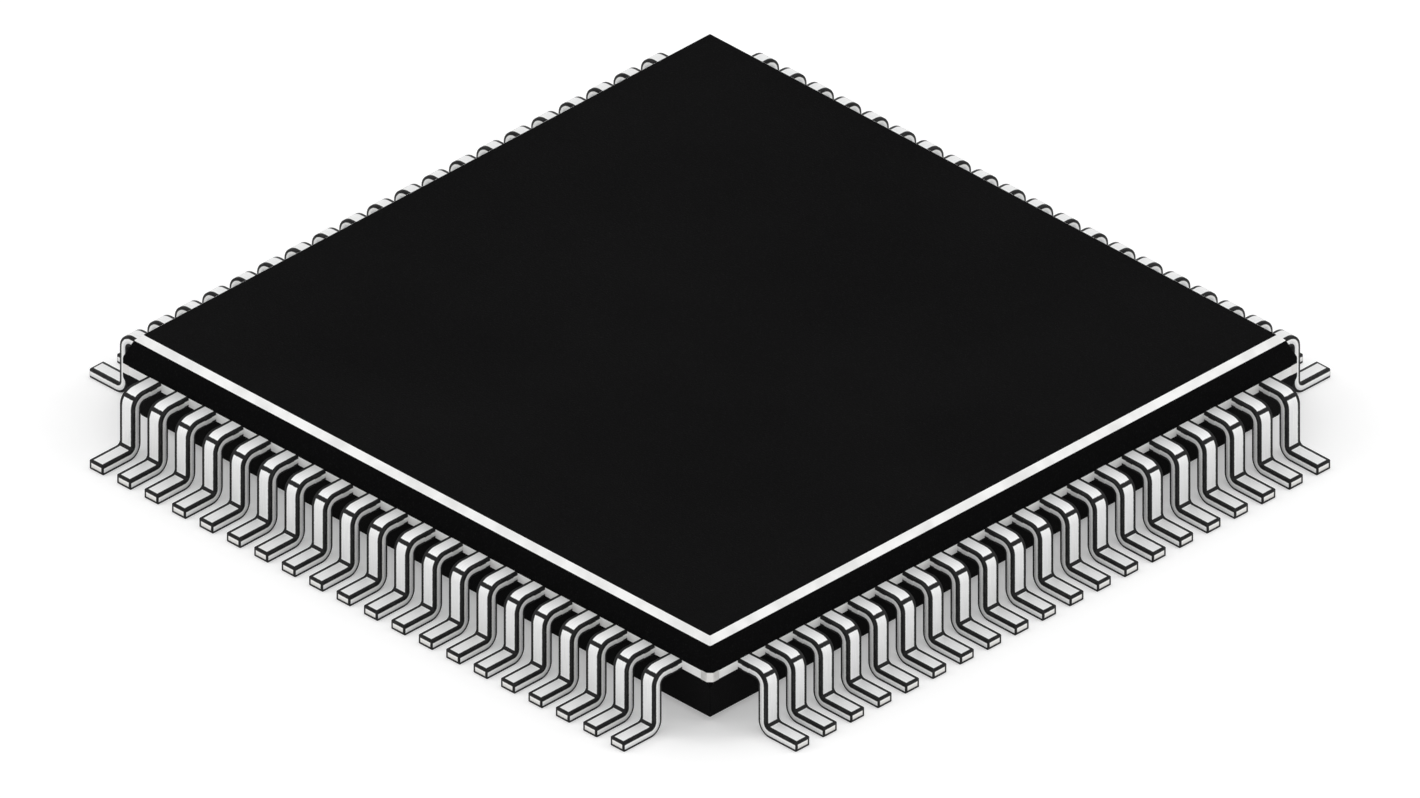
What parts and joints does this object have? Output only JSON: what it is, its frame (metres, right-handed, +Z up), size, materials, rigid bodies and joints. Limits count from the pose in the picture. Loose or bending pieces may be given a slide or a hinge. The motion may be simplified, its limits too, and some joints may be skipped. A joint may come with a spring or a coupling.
{
  "type": "quad flat pack chip",
  "caption": "Square surface-mount chip: a flat black moulded body with a bevelled top edge and a row of bright gull-wing leads along every side.",
  "frame": {"origin": "middle of the seating plane, level with the soles of the feet", "axes": "+Z up from the board through the top face; +X and +Y square to the sides, with the first lead at the +Y end of the -X side and the leads counted anticlockwise from above"},
  "size_m": [0.0168, 0.0168, 0.0018],
  "materials": {
    "mould_compound": "matte",
    "lead_plating": "satin",
    "pad_alloy": "satin",
    "die_adhesive": "matte",
    "silicon": "polished",
    "bond_gold": "polished"
  },
  "bodies": {
    "root": {"body": "mould_compound", "die_pad": "pad_alloy", "die_attach": "die_adhesive", "die": "silicon", "leads_west_1": "lead_plating", "leads_west_2": "lead_plating", "leads_west_3": "lead_plating", "leads_west_4": "lead_plating", "leads_west_5": "lead_plating", "leads_south_1": "lead_plating", "leads_south_2": "lead_plating", "leads_south_3": "lead_plating", "leads_south_4": "lead_plating", "leads_south_5": "lead_plating", "leads_east_1": "lead_plating", "leads_east_2": "lead_plating", "leads_east_3": "lead_plating", "leads_east_4": "lead_plating", "leads_east_5": "lead_plating", "leads_north_1": "lead_plating", "leads_north_2": "lead_plating", "leads_north_3": "lead_plating", "leads_north_4": "lead_plating", "leads_north_5": "lead_plating", "wires_west_1": "bond_gold", "wires_west_2": "bond_gold", "wires_west_3": "bond_gold", "wires_west_4": "bond_gold", "wires_west_5": "bond_gold", "wires_south_1": "bond_gold", "wires_south_2": "bond_gold", "wires_south_3": "bond_gold", "wires_south_4": "bond_gold", "wires_south_5": "bond_gold", "wires_east_1": "bond_gold", "wires_east_2": "bond_gold", "wires_east_3": "bond_gold", "wires_east_4": "bond_gold", "wires_east_5": "bond_gold", "wires_north_1": "bond_gold", "wires_north_2": "bond_gold", "wires_north_3": "bond_gold", "wires_north_4": "bond_gold", "wires_north_5": "bond_gold"}
  },
  "joints": []
}
